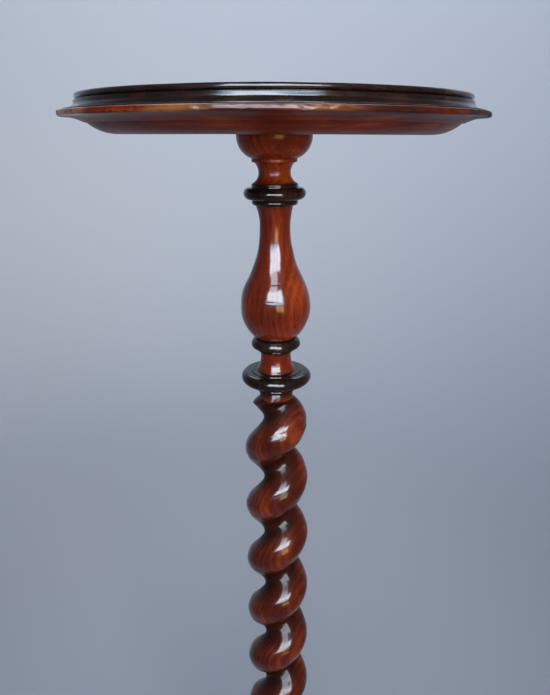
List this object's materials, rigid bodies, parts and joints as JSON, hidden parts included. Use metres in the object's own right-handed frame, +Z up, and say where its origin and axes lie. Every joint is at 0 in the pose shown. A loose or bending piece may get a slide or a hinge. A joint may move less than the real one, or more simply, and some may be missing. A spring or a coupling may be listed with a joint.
{
  "type": "candle stand",
  "caption": "Tall slender candle stand: round moulded dish top on a turned vase and barley-twist column with ebonised collars, standing on a tripod of curved legs.",
  "frame": {"origin": "on the floor, on the axis of the column", "axes": "+Z up along the column, front of the stand towards -Y, one leg towards +Y"},
  "size_m": [0.328, 0.334, 0.8524],
  "materials": {
    "red_wood": "polished red-brown hardwood",
    "ebonised_wood": "ebonised and polished hardwood"
  },
  "bodies": {
    "root": {"top_board": "red_wood", "rim_front": "ebonised_wood", "rim_right": "ebonised_wood", "rim_back": "ebonised_wood", "rim_left": "ebonised_wood", "column_cap": "red_wood", "upper_collar": "ebonised_wood", "vase": "red_wood", "middle_collar": "ebonised_wood", "neck_spool": "red_wood", "shoulder_collar": "ebonised_wood", "twist_shaft": "red_wood", "foot_collar": "ebonised_wood", "foot_spool": "red_wood", "foot_ring": "ebonised_wood", "leg_hub": "red_wood", "leg_back": "red_wood", "leg_left": "red_wood", "leg_right": "red_wood", "drop_finial": "ebonised_wood"}
  },
  "joints": []
}
